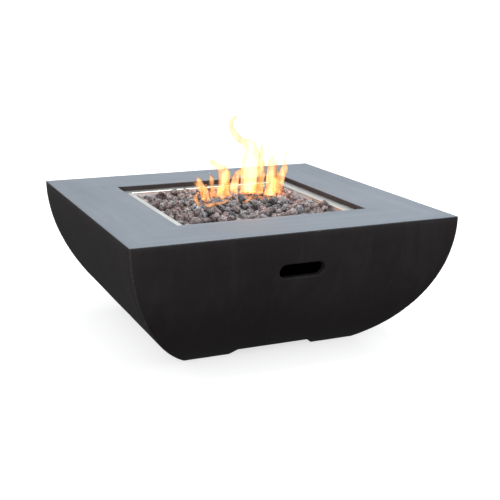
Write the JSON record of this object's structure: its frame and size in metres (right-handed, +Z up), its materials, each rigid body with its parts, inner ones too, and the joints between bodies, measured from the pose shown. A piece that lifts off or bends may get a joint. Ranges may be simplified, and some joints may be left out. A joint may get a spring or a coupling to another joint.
{
  "type": "fire pit",
  "caption": "Square cast-concrete gas fire bowl with curved-in sides, a hand slot and corner feet, a drop-in steel pan with burner, grate and lava rock, and a side panel with knob and igniter.",
  "frame": {"origin": "centre of the footprint on the ground, which is the middle of the bounding box's bottom face", "axes": "+Z up; the front face with the visible hand slot faces -Y; the control panel is on the +X side"},
  "size_m": [0.864, 0.864, 0.3672],
  "materials": {
    "cast_concrete": "matte",
    "pad_rubber": "matte",
    "sheet_steel": "satin",
    "grate_steel": "satin",
    "lava_rock_red": "matte",
    "lava_rock_grey": "matte",
    "plated_steel": "satin",
    "gas_brass": "satin",
    "valve_casting": "satin",
    "spring_steel": "satin",
    "knob_plastic": "matte",
    "igniter_plastic": "gloss",
    "battery_case": "satin",
    "lead_sleeve": "matte",
    "probe_ceramic": "satin"
  },
  "bodies": {
    "fire_bowl": {"concrete_bowl": "cast_concrete", "foot_pads": "pad_rubber", "burner_pan": "sheet_steel", "burner_ring": "sheet_steel", "burner_posts": "sheet_steel", "rock_grate": "grate_steel", "lava_rocks_lower": "lava_rock_red", "lava_rocks_upper": "lava_rock_grey", "inlet_nipple": "plated_steel", "pan_washer": "plated_steel", "pan_locknut": "gas_brass", "air_mixer": "plated_steel", "gas_orifice": "gas_brass", "gas_elbow": "gas_brass", "elbow_flare_nut": "gas_brass", "gas_pipe": "sheet_steel", "valve_flare_nut": "gas_brass", "valve_body": "valve_casting", "inlet_fitting": "gas_brass", "valve_bracket": "plated_steel", "valve_screws": "plated_steel", "stem_spring": "spring_steel", "control_panel": "sheet_steel", "panel_screws": "sheet_steel", "panel_anchors": "gas_brass", "igniter_housing": "igniter_plastic", "igniter_nut": "igniter_plastic", "igniter_spring": "spring_steel", "igniter_battery": "battery_case", "ignition_lead": "lead_sleeve", "pilot_bracket": "sheet_steel", "bracket_screws": "sheet_steel", "bracket_nuts": "sheet_steel", "electrode_ceramic": "probe_ceramic", "electrode_rod": "plated_steel", "thermocouple_probe": "plated_steel", "thermocouple_nut": "gas_brass", "thermocouple_lead": "gas_brass"},
    "knob_push": {"spring_cup": "spring_steel"},
    "knob_turn": {"valve_stem": "gas_brass", "control_knob": "knob_plastic", "knob_set_screw": "plated_steel"},
    "igniter_push": {"igniter_button": "igniter_plastic"}
  },
  "joints": [
    {"name": "knob_press", "type": "slide", "parent": "fire_bowl", "child": "knob_push", "axis": [-0.9134, 0, 0.4072], "range_m": [0, 0.004], "stiffness_N_per_m": 1500, "springref_m": -0.004, "deforming": ["stem_spring"]},
    {"name": "knob_rotate", "type": "hinge", "parent": "knob_push", "child": "knob_turn", "pos_m": [0.3921, -0.03, 0.18509], "axis": [0.9134, 0, -0.4072], "range_deg": [0, 180]},
    {"name": "igniter_press", "type": "slide", "parent": "fire_bowl", "child": "igniter_push", "axis": [-0.9134, 0, 0.4072], "range_m": [0, 0.0035], "stiffness_N_per_m": 900, "springref_m": -0.005, "deforming": ["igniter_spring"]}
  ]
}
